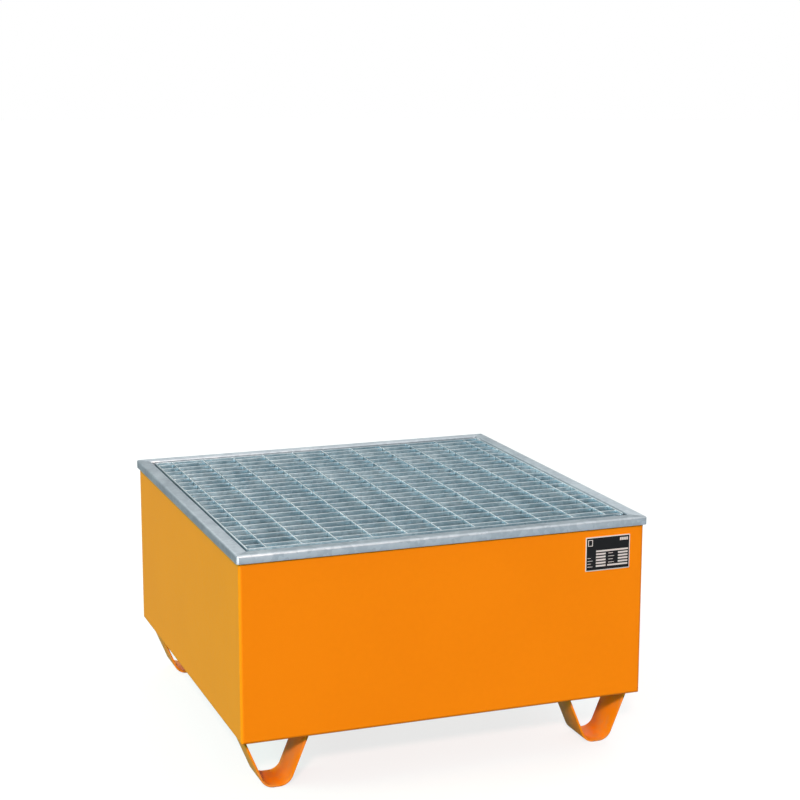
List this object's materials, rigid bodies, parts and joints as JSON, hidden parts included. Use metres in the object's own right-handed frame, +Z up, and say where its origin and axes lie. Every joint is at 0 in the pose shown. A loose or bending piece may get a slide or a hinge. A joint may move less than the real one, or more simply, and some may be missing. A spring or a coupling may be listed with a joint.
{
  "type": "spill pallet",
  "caption": "Square steel spill pallet for a standing drum: painted sheet tray on bent feet, galvanised rim and a lift-out grating.",
  "frame": {"origin": "on the floor under the middle of the tray, at the level of the feet's soles", "axes": "+X right along the front face, which carries the rating plate; +Y towards the rear; +Z up"},
  "size_m": [0.8, 0.8, 0.45],
  "materials": {
    "orange_paint": "semi-gloss yellow-orange powder coat",
    "rim_zinc": "hot-dip galvanised sheet, soft grey spangle",
    "grating_zinc": "hot-dip galvanised flat bar, slightly brighter on the worn top edges",
    "plate_metal": "satin aluminium",
    "plate_film": "black printed film"
  },
  "bodies": {
    "tray": {"floor_pan": "orange_paint", "front_wall": "orange_paint", "rear_wall": "orange_paint", "left_wall": "orange_paint", "right_wall": "orange_paint", "corner_seams": "orange_paint", "rim_front": "rim_zinc", "rim_rear": "rim_zinc", "rim_left": "rim_zinc", "rim_right": "rim_zinc", "rim_welds": "rim_zinc", "seat_front": "rim_zinc", "seat_rear": "rim_zinc", "seat_left": "rim_zinc", "seat_right": "rim_zinc", "foot_front_left": "orange_paint", "foot_front_right": "orange_paint", "foot_rear_left": "orange_paint", "foot_rear_right": "orange_paint", "foot_welds": "orange_paint", "rating_plate": "plate_metal", "plate_film": "plate_film"},
    "grating": {"grate_edge_front": "grating_zinc", "grate_edge_rear": "grating_zinc", "grate_edge_left": "grating_zinc", "grate_edge_right": "grating_zinc", "bearing_bar_1": "grating_zinc", "bearing_bar_2": "grating_zinc", "bearing_bar_3": "grating_zinc", "bearing_bar_4": "grating_zinc", "bearing_bar_5": "grating_zinc", "bearing_bar_6": "grating_zinc", "bearing_bar_7": "grating_zinc", "bearing_bar_8": "grating_zinc", "bearing_bar_9": "grating_zinc", "bearing_bar_10": "grating_zinc", "bearing_bar_11": "grating_zinc", "bearing_bar_12": "grating_zinc", "bearing_bar_13": "grating_zinc", "bearing_bar_14": "grating_zinc", "bearing_bar_15": "grating_zinc", "bearing_bar_16": "grating_zinc", "bearing_bar_17": "grating_zinc", "bearing_bar_18": "grating_zinc", "bearing_bar_19": "grating_zinc", "bearing_bar_20": "grating_zinc", "bearing_bar_21": "grating_zinc", "cross_bar_1": "grating_zinc", "cross_bar_2": "grating_zinc", "cross_bar_3": "grating_zinc", "cross_bar_4": "grating_zinc", "cross_bar_5": "grating_zinc", "cross_bar_6": "grating_zinc", "cross_bar_7": "grating_zinc", "cross_bar_8": "grating_zinc", "cross_bar_9": "grating_zinc", "cross_bar_10": "grating_zinc", "cross_bar_11": "grating_zinc"}
  },
  "joints": [
    {"name": "grating_lift", "type": "slide", "parent": "tray", "child": "grating", "axis": [0, 0, 1], "range_m": [0, 0.25]}
  ]
}
